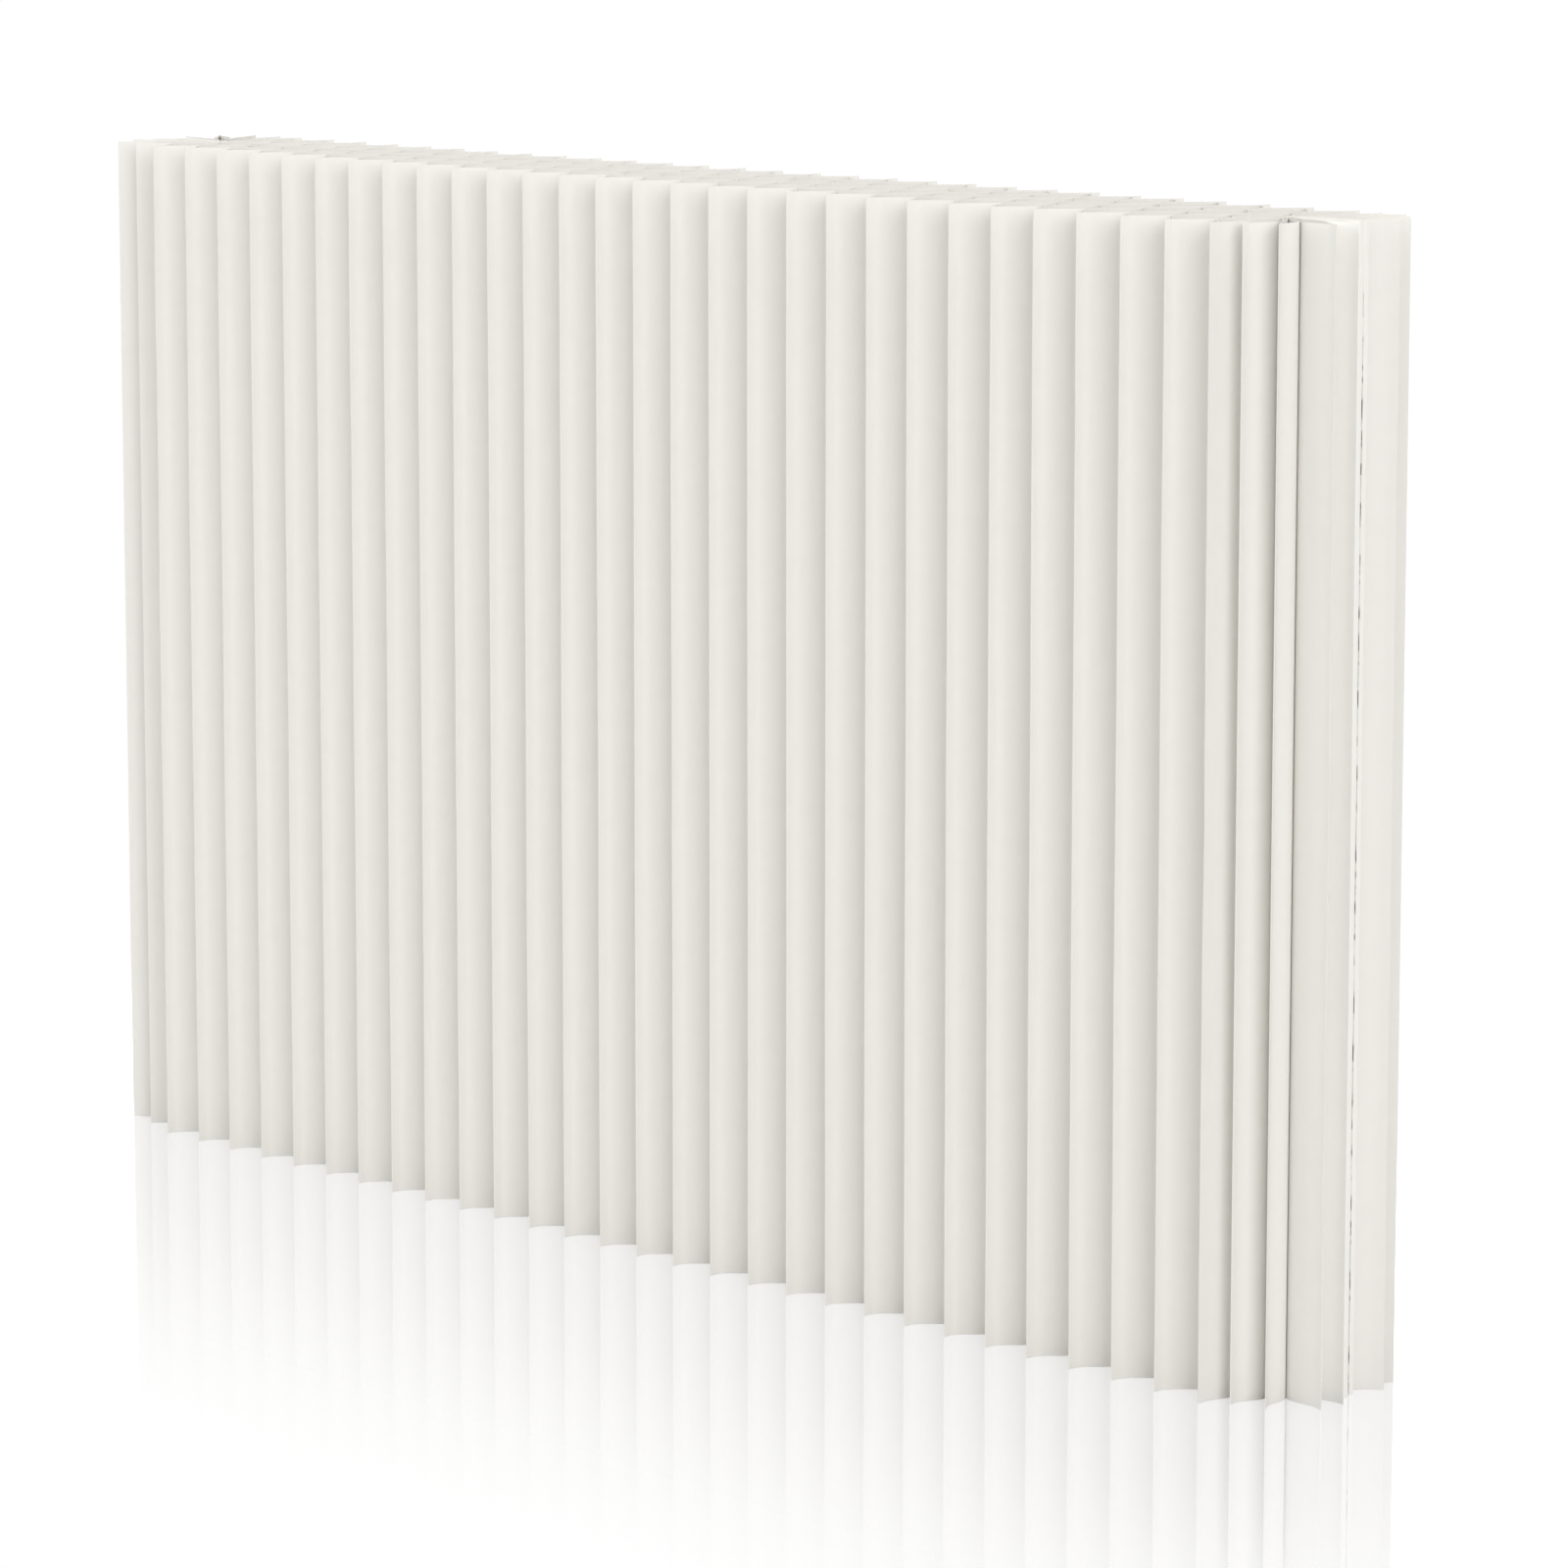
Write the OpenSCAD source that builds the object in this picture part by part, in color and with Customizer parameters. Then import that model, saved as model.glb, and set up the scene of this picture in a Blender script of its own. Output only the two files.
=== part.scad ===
/* [Wall] */
// Height of every sheet and end leaf
height = 1372; // [900:1:2440]
// Depth of the opened honeycomb, from front folds to back folds
depth = 263; // [200:1:300]
// Length of wall from one glued pleat to the next
pitch = 67.8; // [45:0.1:90]
// Number of pleats that stand square across the wall
pleat_count = 29; // [5:1:29]

/* [Paper] */
// Thickness of one sheet of paper
sheet_t = 0.5; // [0.3:0.05:1]
// Width of each vertical glue line
glue_w = 14; // [6:1:24]
// Air left between pleats where their glue lines meet
fold_gap = 0.3; // [0.2:0.05:0.6]
// Thickness of the glue film between the two sheets of a pleat
glue_t = 0.1; // [0.05:0.05:0.3]
// How far each sheet runs straight on from a glue line, as a share of the bend
bend_pull = 1.05; // [0.6:0.05:1.4]

/* [End fans] */
// Radius of the glued bead in which the fanned sheets meet
bead_r = 6; // [5:0.5:9]
// Air between the bead and the inner edges of the fanned sheets
bead_gap = 0.8; // [0.8:0.05:2]
// Radius at which the fanned sheets are glued to each other
fan_glue_r = 57; // [45:1:70]
// Right end, front half: direction of each fanned pleat in degrees
right_front_dirs = [-78, -56, -25, -8]; // [-80:1:-8]
// Right end, front half: reach of each fanned pleat
right_front_reach = [112, 113, 124, 117]; // [105:1:150]
// Right end, front half: direction of the glue line after each fanned pleat but the last
right_front_glue = [-59, -40, -17]; // [-79:1:-9]
// Right end, back half: direction of each fanned pleat in degrees
right_back_dirs = [74, 59, 45, 31]; // [26:1:80]
// Right end, back half: reach of each fanned pleat
right_back_reach = [128, 140, 138, 127]; // [105:1:150]
// Right end, back half: direction of the glue line after each fanned pleat but the last
right_back_glue = [66, 52, 38]; // [27:1:79]
// Left end, front half: direction of each fanned pleat in degrees
left_front_dirs = [-62, -43, -24, -13]; // [-80:1:-12]
// Left end, front half: reach of each fanned pleat
left_front_reach = [124, 148, 142, 124]; // [105:1:150]
// Left end, front half: direction of the glue line after each fanned pleat but the last
left_front_glue = [-52, -34, -19]; // [-79:1:-13]
// Left end, back half: direction of each fanned pleat in degrees
left_back_dirs = [75, 56, 36, 16]; // [12:1:80]
// Left end, back half: reach of each fanned pleat
left_back_reach = [130, 148, 150, 136]; // [105:1:150]
// Left end, back half: direction of the glue line after each fanned pleat but the last
left_back_glue = [66, 46, 26]; // [13:1:79]

/* [End leaves] */
// Width of an end leaf, from its crease to its nose
leaf_w = 84; // [60:1:110]
// Distance from a leaf's crease to the thin edge of its board
board_start = 14; // [10:1:20]
// Thickness of the wedge-shaped board at its thin edge
board_thin = 1.5; // [1:0.5:3]
// Thickness of the board at the nose
board_thick = 11; // [9:0.5:14]
// Thickness of the paper cover on an end leaf
cover_t = 0.5; // [0.3:0.1:1]
// Air between the two leaves of one end
seam_gap = 1.2; // [0.8:0.1:3]
// How far the closed right leaves point back, in degrees
right_leaf_dir = 12; // [6:1:14]
// How far the closed left leaves point back, in degrees
left_leaf_dir = 0; // [0:1:3]

/* [Magnets] */
// Magnets in each leaf
magnet_count = 6; // [2:1:10]
// Radius of a magnet
magnet_r = 10; // [5:0.5:15]
// Thickness of a magnet
magnet_t = 4; // [2:0.5:6]
// Room round a magnet in its pocket
magnet_clear = 0.15; // [0.05:0.05:0.4]
// Distance from the leaf's nose to the magnets' centres
magnet_inset = 19; // [17:1:24]
// Height of the lowest magnet above the floor, and of the highest below the top
magnet_margin = 116; // [60:1:200]

/* [Hidden] */
half_waves = 4;                 // straight runs of a sheet between its glue lines, front to back
row_d = depth / half_waves;     // depth of one row of the honeycomb
bend_steps = 7;                 // chords in one bend of a sheet
mid_y = depth / 2;              // the mid-depth line, where the end sheets bend round the bead
skin = sheet_t / 2;             // a sheet's middle line to its face
pair_off = (sheet_t + glue_t) / 2; // a sheet's middle line to the glue film inside its pleat
glue_off = skin + fold_gap / 2; // a sheet's middle line to the glue line that it shares with a neighbour
wall_len = (pleat_count - 1) * pitch;
bead_x = glue_t / 2 + sheet_t + fold_gap + bead_r;       // bead centre, out from the last square pleat
leaf_t = board_thick + 2 * cover_t;                      // one finished leaf at its nose
leaf_slope = atan((board_thick - board_thin) / (leaf_w - board_start)); // outer face to seam face
crease_x = bead_x + leaf_t + seam_gap;                   // hinge line of the leaves
fan_start = bead_r + bead_gap;                           // inner edge of the fanned sheets
pocket_depth = magnet_t + 2 * magnet_clear;
paper = [0.945, 0.935, 0.91];
board = [0.9, 0.88, 0.84];

function unit(a) = [cos(a), sin(a)];
function square_to(d) = [-d[1], d[0]];

// One bend of a sheet: straight along glue line a, a smooth S, straight along glue line b.
// The S is a cubic whose ends lie along the glue lines' own directions.
function s_bend(a, ta, b, tb) =
    let (p = a + ta * glue_w / 2, q = b - tb * glue_w / 2, m = norm(q - p) * bend_pull)
    [for (i = [0:bend_steps]) let (s = i / bend_steps)
        p * (2 * s ^ 3 - 3 * s ^ 2 + 1) + ta * m * (s ^ 3 - 2 * s ^ 2 + s)
        + q * (3 * s ^ 2 - 2 * s ^ 3) + tb * m * (s ^ 3 - s ^ 2)];

// A sheet's middle line through its glue lines. knots holds [point, direction] pairs.
function sheet_line(knots) = concat(
    [knots[0][0]],
    [for (i = [1:len(knots) - 1])
        each s_bend(knots[i - 1][0], knots[i - 1][1], knots[i][0], knots[i][1])],
    [knots[len(knots) - 1][0]]);

function heading(path, i) =
    let (a = path[max(i - 1, 0)], b = path[min(i + 1, len(path) - 1)]) (b - a) / norm(b - a);

// The paper itself: the middle line given its thickness.
module ribbon(path, t) {
    n = len(path) - 1;
    polygon(concat(
        [for (i = [0:n]) path[i] + square_to(heading(path, i)) * t / 2],
        [for (i = [n:-1:0]) path[i] - square_to(heading(path, i)) * t / 2]));
}

// ---- square pleats: two sheets glued to each other at the front, the middle and the back ----

// Where a square pleat's sheet meets the pleat beside it, out from its own line.
function open_knot(row) = [[pitch / 2 - glue_off, row * row_d], [0, 1]];
// The same for the last sheet, which meets the first fanned pleat half way between their directions.
function fan_knot(dir, back) =
    let (a = (dir + (back ? 90 : -90)) / 2, d = unit(a), away = back ? 1 : -1)
    [[bead_x, mid_y] + d * fan_glue_r + square_to(d) * away * glue_off, d * away];
function closed_knot(row) = [[pair_off, row * row_d], [0, 1]];

module square_sheet(front_knot, back_knot) {
    ribbon(sheet_line([closed_knot(0), front_knot, closed_knot(2), back_knot, closed_knot(4)]), sheet_t);
}

function pleat_x(k) = (k - 1) * pitch;

module square_pleat(k) {
    color(paper) translate([pleat_x(k), 0, 0]) {
        linear_extrude(height)
            if (k == pleat_count)
                square_sheet(fan_knot(right_front_dirs[0], false), fan_knot(right_back_dirs[0], true));
            else
                square_sheet(open_knot(1), open_knot(3));
        linear_extrude(height) mirror([1, 0])
            if (k == 1)
                square_sheet(fan_knot(left_front_dirs[0], false), fan_knot(left_back_dirs[0], true));
            else
                square_sheet(open_knot(1), open_knot(3));
    }
}

// ---- fanned half pleats: drawn for the right end, mirrored for the left ----

// Glue line between two fanned pleats, seen from the one at the given side of it.
function ray_knot(a, side) =
    [[bead_x, mid_y] + unit(a) * fan_glue_r + square_to(unit(a)) * side * glue_off, unit(a)];
// Glue line on a leaf's outer face. away is -1 for the front leaf and 1 for the back leaf.
function leaf_knot(dir, away) =
    let (d = unit(dir), along = unit(dir + away * leaf_slope), s = fan_glue_r + bead_x - crease_x)
    [[crease_x, mid_y] + d * s + square_to(d) * away * (seam_gap / 2 + leaf_face(s))
        + square_to(along) * away * (fold_gap + skin), along];

// dirs, reach and glue list the fan from the wall outwards. away is -1 for the front half and 1 for the
// back.
module fanned_half(i, dirs, reach, glue, leaf_dir, away) {
    d = unit(dirs[i]);
    hub = [bead_x, mid_y];
    wall_knot = ray_knot(i == 0 ? (dirs[0] + away * 90) / 2 : glue[i - 1], -away);
    leaf_side = i < len(glue) ? ray_knot(glue[i], away) : leaf_knot(leaf_dir, away);
    color(paper) for (s = [-1, 1]) {
        side = square_to(d) * s * pair_off;
        knot = s == away ? wall_knot : leaf_side;
        inner = hub + d * fan_start + side;
        tip = hub + d * reach[i] + side;
        linear_extrude(height) ribbon(sheet_line([[inner, d], knot, [tip, d]]), sheet_t);
    }
}

module right_end() { translate([wall_len, 0, 0]) children(); }
module left_end() { mirror([1, 0, 0]) children(); }

// ---- the bead and crease that carry an end's leaves ----

module end_bead() {
    color(paper) union() {
        translate([bead_x, mid_y, 0]) cylinder(h = height, r = bead_r, $fn = 32);
        translate([bead_x, mid_y - sheet_t / 2, 0]) cube([crease_x - bead_x, sheet_t, height]);
    }
}

// ---- end leaves: a paper-covered board with magnets behind its seam face ----

// A leaf's own frame: X from crease to nose, Y out from the seam face, on the side that away gives.
module in_leaf(leaf_dir, away) {
    translate([crease_x, mid_y, 0]) rotate(leaf_dir) mirror([0, away < 0 ? 1 : 0, 0])
        translate([0, seam_gap / 2, 0]) children();
}

// Height of a leaf's outer face over its seam face, at a distance from the crease.
function leaf_face(s) = 2 * cover_t + board_thin + (s - board_start) * tan(leaf_slope);

function magnet_z(i) = magnet_margin + i * (height - 2 * magnet_margin) / (magnet_count - 1);
magnet_x = leaf_w - magnet_inset;

// The wedge inside a leaf, in the leaf's own frame.
module board_outline() {
    end = leaf_w - cover_t;
    polygon([[board_start, cover_t], [end, cover_t],
        [end, leaf_face(end) - cover_t], [board_start, leaf_face(board_start) - cover_t]]);
}

module leaf_board(leaf_dir, away) {
    color(board) in_leaf(leaf_dir, away) difference() {
        linear_extrude(height) board_outline();
        for (i = [0:magnet_count - 1])
            translate([magnet_x, cover_t - 1, magnet_z(i)]) rotate([-90, 0, 0])
                cylinder(h = pocket_depth + 1, r = magnet_r + magnet_clear, $fn = 48);
    }
}

module leaf_magnets(leaf_dir, away) {
    color([0.62, 0.63, 0.65]) in_leaf(leaf_dir, away)
        for (i = [0:magnet_count - 1])
            translate([magnet_x, cover_t + magnet_clear, magnet_z(i)]) rotate([-90, 0, 0])
                cylinder(h = magnet_t, r = magnet_r, $fn = 48);
}

// The cover wraps the board, and its seam face runs on to the crease.
module leaf_cover(leaf_dir, away) {
    color(paper) in_leaf(leaf_dir, away) linear_extrude(height) difference() {
        polygon([[fold_gap, 0], [leaf_w, 0], [leaf_w, leaf_face(leaf_w)],
            [board_start - cover_t, leaf_face(board_start - cover_t)], [board_start - cover_t, cover_t],
            [fold_gap, cover_t]]);
        board_outline();
    }
}

function two(n) = n < 10 ? str("0", n) : str(n);
FAN = [1:4]; // fanned pleats in each half of an end
PLEATS = [for (k = [1:pleat_count]) str("pleat_", two(k))];
FANS = [for (e = ["left", "right"], h = ["front", "back"], i = FAN) str(e, "_", h, "_fan_", i)];
LEAVES = [for (e = ["left", "right"], h = ["front", "back"], p = ["board", "cover", "magnets"])
    str(e, "_", h, "_leaf_", p)];

// The row frame's origin: bottom centre of the whole wall.
function tip_x(dirs, reach, i) = bead_x + reach[i] * cos(dirs[i]) + (pair_off + skin) * abs(sin(dirs[i]));
function end_reach(fd, fr, bd, br) =
    max([for (i = [0:len(fd) - 1]) max(tip_x(fd, fr, i), tip_x(bd, br, i))]);
right_reach = end_reach(right_front_dirs, right_front_reach, right_back_dirs, right_back_reach);
left_reach = end_reach(left_front_dirs, left_front_reach, left_back_dirs, left_back_reach);
origin = [(wall_len + right_reach - left_reach) / 2, mid_y, 0];

module shown(name) { translate(-origin) children(); }

for (k = [1:pleat_count]) shown(PLEATS[k - 1]) square_pleat(k);

for (i = FAN) {
    shown(str("left_front_fan_", i)) left_end()
        fanned_half(i - 1, left_front_dirs, left_front_reach, left_front_glue, left_leaf_dir, -1);
    shown(str("left_back_fan_", i)) left_end()
        fanned_half(i - 1, left_back_dirs, left_back_reach, left_back_glue, left_leaf_dir, 1);
    shown(str("right_front_fan_", i)) right_end()
        fanned_half(i - 1, right_front_dirs, right_front_reach, right_front_glue, right_leaf_dir, -1);
    shown(str("right_back_fan_", i)) right_end()
        fanned_half(i - 1, right_back_dirs, right_back_reach, right_back_glue, right_leaf_dir, 1);
}

shown("left_front_leaf_board") left_end() leaf_board(left_leaf_dir, -1);
shown("left_front_leaf_cover") left_end() leaf_cover(left_leaf_dir, -1);
shown("left_front_leaf_magnets") left_end() leaf_magnets(left_leaf_dir, -1);
shown("left_back_leaf_board") left_end() leaf_board(left_leaf_dir, 1);
shown("left_back_leaf_cover") left_end() leaf_cover(left_leaf_dir, 1);
shown("left_back_leaf_magnets") left_end() leaf_magnets(left_leaf_dir, 1);
shown("right_front_leaf_board") right_end() leaf_board(right_leaf_dir, -1);
shown("right_front_leaf_cover") right_end() leaf_cover(right_leaf_dir, -1);
shown("right_front_leaf_magnets") right_end() leaf_magnets(right_leaf_dir, -1);
shown("right_back_leaf_board") right_end() leaf_board(right_leaf_dir, 1);
shown("right_back_leaf_cover") right_end() leaf_cover(right_leaf_dir, 1);
shown("right_back_leaf_magnets") right_end() leaf_magnets(right_leaf_dir, 1);
shown("left_bead") left_end() end_bead();
shown("right_bead") right_end() end_bead();
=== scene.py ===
"""Finish, stage and camera for a free-standing pleated paper screen."""

import math

import bpy
import numpy as np
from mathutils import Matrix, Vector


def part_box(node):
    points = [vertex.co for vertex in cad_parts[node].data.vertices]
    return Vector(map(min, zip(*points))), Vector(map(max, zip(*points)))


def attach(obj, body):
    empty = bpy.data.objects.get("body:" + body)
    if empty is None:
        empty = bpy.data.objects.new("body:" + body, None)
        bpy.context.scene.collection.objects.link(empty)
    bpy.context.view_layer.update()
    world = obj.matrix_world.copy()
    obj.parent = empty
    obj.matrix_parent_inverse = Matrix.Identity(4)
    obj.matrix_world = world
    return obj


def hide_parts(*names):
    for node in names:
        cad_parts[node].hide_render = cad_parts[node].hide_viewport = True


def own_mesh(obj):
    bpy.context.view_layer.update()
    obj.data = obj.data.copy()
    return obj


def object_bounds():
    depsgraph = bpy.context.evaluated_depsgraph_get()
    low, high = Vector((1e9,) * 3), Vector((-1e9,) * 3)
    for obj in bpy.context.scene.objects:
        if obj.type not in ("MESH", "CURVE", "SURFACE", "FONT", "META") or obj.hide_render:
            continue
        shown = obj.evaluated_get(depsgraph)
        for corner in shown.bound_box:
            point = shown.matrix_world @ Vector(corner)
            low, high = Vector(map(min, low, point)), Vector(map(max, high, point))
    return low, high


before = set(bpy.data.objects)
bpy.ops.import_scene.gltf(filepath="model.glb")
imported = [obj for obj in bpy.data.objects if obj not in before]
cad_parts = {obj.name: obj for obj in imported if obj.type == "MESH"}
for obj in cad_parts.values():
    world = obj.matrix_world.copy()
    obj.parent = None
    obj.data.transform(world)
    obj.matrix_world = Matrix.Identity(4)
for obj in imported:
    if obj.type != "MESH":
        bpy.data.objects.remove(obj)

bl_info = {
    "name": "Pleated paper screen",
    "version": (1, 0, 0),
    "blender": (4, 5, 0),
    "location": "View3D > Sidebar > Screen",
    "description": "Dresses a folding honeycomb screen in bent white paper and sets a pale stage for it",
    "category": "Object",
}

MM = 0.001
CAD_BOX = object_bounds()

# The wall, read from the frame: its height and depth, its square pleats and the rows of their glue lines.
PLEAT_LOW, PLEAT_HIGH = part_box("pleat_02")
HEIGHT = PLEAT_HIGH[2]
DEPTH = PLEAT_HIGH[1] - PLEAT_LOW[1]
FIRST_X = (PLEAT_LOW[0] + PLEAT_HIGH[0]) / 2
PITCH = (sum(corner[0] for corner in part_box("pleat_03")) / 2) - FIRST_X
PLEAT_COUNT = sum(name.startswith("pleat_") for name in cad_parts)
WALL_LEFT = FIRST_X - PITCH
WALL_RIGHT = WALL_LEFT + (PLEAT_COUNT - 1) * PITCH
ROW = DEPTH / 4

# The ends: which way each lies, where the wall stops, its last square pleat, and the pleats fanned beyond.
HALVES = {"front": -1, "back": 1}
ENDS = {"left": -1, "right": 1}
WALL_END = {"left": WALL_LEFT, "right": WALL_RIGHT}
END_PLEAT = {"left": "pleat_01", "right": f"pleat_{PLEAT_COUNT:02d}"}
FAN_PLEATS = 4
# The last front fanned pleat on the right gets whiter paper as painted light, brightening it where its
# neighbour's tip shades it.
PAINTED_LIGHT_FLAP = "right_front_fan_4"

# The longest wave in each kind of unevenness, in metres of height.
TIP_WAVELENGTH = 1.1
RIPPLE_WAVELENGTH = 0.9
SEAM_WAVELENGTH = 0.3
NOSE_WAVELENGTH = 0.25

# Seeds of the random draws, and the first seeds of the waves that are counted by pleat or by leaf.
SQUARE_SEED = 11
FAN_SEED = 23
FRONT_TIP_SEED = 700
BACK_TIP_SEED = 900
COVER_SEED = 300
SEED_LIMIT = 1 << 30

# The seam between two leaves and the covers that form it.
SHUT_OVER = 0.1  # share of the height over which the seam closes
SEAM_SHADE_LAP = 0.08  # share of the height by which the painted seam shade shows on above the open part
LEAN_LIMIT = 0.94  # share of the gap that can close
LEAN_DEPTH = 3 * MM  # distance from the seam face within which a cover leans
COVER_ROWS = 120  # rows of points up a cover

# The finish of every mesh, and the stage.
SHARP_ANGLE = math.radians(50)  # a steeper edge is shaded as a fold
WHITE = (1.0, 1.0, 1.0, 1.0)
FLOOR_SIZE = 120
FLOOR_DROP = 0.2 * MM  # keeps the floor clear of the sheets' lower rims
SENSOR = 36  # width in mm
FAR_CLIP = 200


# ---------------------------------------------------------------- settings


def fan_directions(side, degrees):
    """Directions of the fanned pleats of one half end, in degrees from straight out."""
    return bpy.props.FloatVectorProperty(
        name=f"{side} directions",
        description="Direction of each fanned pleat, in degrees from straight out towards the back",
        size=FAN_PLEATS,
        default=degrees,
    )


def glue_directions(side, degrees):
    """Directions in which neighbours of one half end's fan are glued, in degrees from straight out."""
    return bpy.props.FloatVectorProperty(
        name=f"{side} glue lines",
        description="Direction of the glue line after each fanned pleat but the last",
        size=FAN_PLEATS - 1,
        default=degrees,
    )


def fan_reach(side, lengths):
    """Reach of the fanned pleats of one half end, from the bead to their tips, in millimetres."""
    return bpy.props.FloatVectorProperty(
        name=f"{side} reach",
        description="Distance of each fanned pleat's tip from the bead",
        size=FAN_PLEATS,
        unit="LENGTH",
        default=[length * MM for length in lengths],
    )


class ScreenFoldSettings(bpy.types.PropertyGroup):
    """How the sheets are cut, glued and bent."""

    sheet: bpy.props.FloatProperty(
        name="Sheet", description="Thickness of one sheet", default=0.5 * MM, unit="LENGTH"
    )
    glue_film: bpy.props.FloatProperty(
        name="Glue film",
        description="Gap that the glue fills inside a pleat",
        default=0.1 * MM,
        unit="LENGTH",
    )
    fold_gap: bpy.props.FloatProperty(
        name="Fold gap", description="Gap between glued neighbours", default=0.3 * MM, unit="LENGTH"
    )
    glue_line: bpy.props.FloatProperty(
        name="Glue line", description="Width of a vertical glue line", default=14 * MM, unit="LENGTH"
    )
    bend_pull: bpy.props.FloatProperty(
        name="Bend pull", description="How far a sheet runs straight on from a glue line", default=1.05
    )
    bead: bpy.props.FloatProperty(
        name="Bead", description="Radius of the glued bead in each end", default=6 * MM, unit="LENGTH"
    )
    bead_gap: bpy.props.FloatProperty(
        name="Bead gap",
        description="Gap between the bead and the fanned sheets",
        default=0.8 * MM,
        unit="LENGTH",
    )
    fan_glue: bpy.props.FloatProperty(
        name="Fan glue",
        description="Radius at which fanned pleats are glued",
        default=57 * MM,
        unit="LENGTH",
    )
    fan_packed: bpy.props.FloatProperty(
        name="Fan packed",
        description="Share of its width that a fanned pleat keeps when packed",
        default=0.022,
        subtype="FACTOR",
    )
    ripple: bpy.props.FloatProperty(
        name="Ripple", description="Slow ripple of the free paper", default=0.7 * MM, unit="LENGTH"
    )
    wander: bpy.props.FloatProperty(
        name="Wander", description="Sideways wander of a glued tip", default=0.5 * MM, unit="LENGTH"
    )
    cut_spread: bpy.props.FloatProperty(
        name="Cut spread",
        description="How unevenly the sheets are cut to height",
        default=1.0 * MM,
        unit="LENGTH",
    )
    right_front_directions: fan_directions("Right front", (-78, -56, -25, -8))
    right_front_reach: fan_reach("Right front", (112, 113, 124, 117))
    right_front_glue: glue_directions("Right front", (-59, -40, -17))
    right_back_directions: fan_directions("Right back", (74, 59, 45, 31))
    right_back_reach: fan_reach("Right back", (128, 140, 138, 127))
    right_back_glue: glue_directions("Right back", (66, 52, 38))
    left_front_directions: fan_directions("Left front", (-62, -43, -24, -13))
    left_front_reach: fan_reach("Left front", (124, 148, 142, 124))
    left_front_glue: glue_directions("Left front", (-52, -34, -19))
    left_back_directions: fan_directions("Left back", (75, 56, 36, 16))
    left_back_reach: fan_reach("Left back", (130, 148, 150, 136))
    left_back_glue: glue_directions("Left back", (66, 46, 26))


class ScreenLeafSettings(bpy.types.PropertyGroup):
    """The paper-covered boards at each end."""

    width: bpy.props.FloatProperty(
        name="Width", description="From crease to nose", default=84 * MM, unit="LENGTH"
    )
    board_start: bpy.props.FloatProperty(
        name="Board start",
        description="From crease to the board's thin edge",
        default=14 * MM,
        unit="LENGTH",
    )
    board_thin: bpy.props.FloatProperty(
        name="Thin edge", description="Board thickness at its thin edge", default=1.5 * MM, unit="LENGTH"
    )
    board_thick: bpy.props.FloatProperty(
        name="Nose", description="Board thickness at the nose", default=11 * MM, unit="LENGTH"
    )
    cover: bpy.props.FloatProperty(
        name="Cover", description="Thickness of the cover paper", default=0.5 * MM, unit="LENGTH"
    )
    seam: bpy.props.FloatProperty(
        name="Seam", description="Gap between the two leaves of an end", default=1.2 * MM, unit="LENGTH"
    )
    corner: bpy.props.FloatProperty(
        name="Corner", description="Radius of the cover's folds", default=1.2 * MM, unit="LENGTH"
    )
    seam_open: bpy.props.FloatProperty(
        name="Seam opening",
        description="Mean opening of the seam over its lower part",
        default=1.1 * MM,
        unit="LENGTH",
    )
    seam_wave: bpy.props.FloatProperty(
        name="Seam wave", description="How unevenly the seam opens", default=0.4 * MM, unit="LENGTH"
    )
    shut_from: bpy.props.FloatProperty(
        name="Shut from",
        description="Share of the height above which the seam closes",
        default=0.9,
        subtype="FACTOR",
    )
    nose_wave: bpy.props.FloatProperty(
        name="Nose wave",
        description="How unevenly the cover is folded round the nose",
        default=0.5 * MM,
        unit="LENGTH",
    )
    right_direction: bpy.props.FloatProperty(
        name="Right direction", description="How far the right leaves point back, in degrees", default=12
    )
    left_direction: bpy.props.FloatProperty(
        name="Left direction", description="How far the left leaves point back, in degrees", default=0
    )


class ScreenPaperSettings(bpy.types.PropertyGroup):
    """Colours of the paper and of what it covers."""

    sheet_hex: bpy.props.StringProperty(
        name="Sheet", description="Colour of the sheets", default="EEECE7"
    )
    cover_hex: bpy.props.StringProperty(
        name="Cover", description="Colour of the leaf covers", default="F5F3EE"
    )
    # Painted light: this pleat's paper is whiter than the sheets to brighten it in the shade of its
    # neighbour's tip.
    flap_painted_light_hex: bpy.props.StringProperty(
        name="Flap",
        description="Colour of the whiter front pleat that is glued to the right leaf",
        default="FBFAF6",
    )
    # The next three settings give the painted shade in the seam: a dark dashed strip along the nose that
    # paints the shadow in the gap between the leaves.
    seam_shade_hex: bpy.props.StringProperty(
        name="Score", description="Colour of the covers' scored folds at the seam", default="6E675C"
    )
    seam_shade_in: bpy.props.FloatProperty(
        name="Score inner edge",
        description="Start of the scored fold, in from the nose",
        default=1.5 * MM,
        unit="LENGTH",
    )
    seam_shade_out: bpy.props.FloatProperty(
        name="Score outer edge",
        description="End of the scored fold, in from the nose",
        default=0.0,
        unit="LENGTH",
    )
    core_hex: bpy.props.StringProperty(
        name="Core", description="Colour of the layered board", default="E9E5DB"
    )
    magnet_hex: bpy.props.StringProperty(
        name="Magnet", description="Colour of the plated magnets", default="B9BABD"
    )


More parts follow.
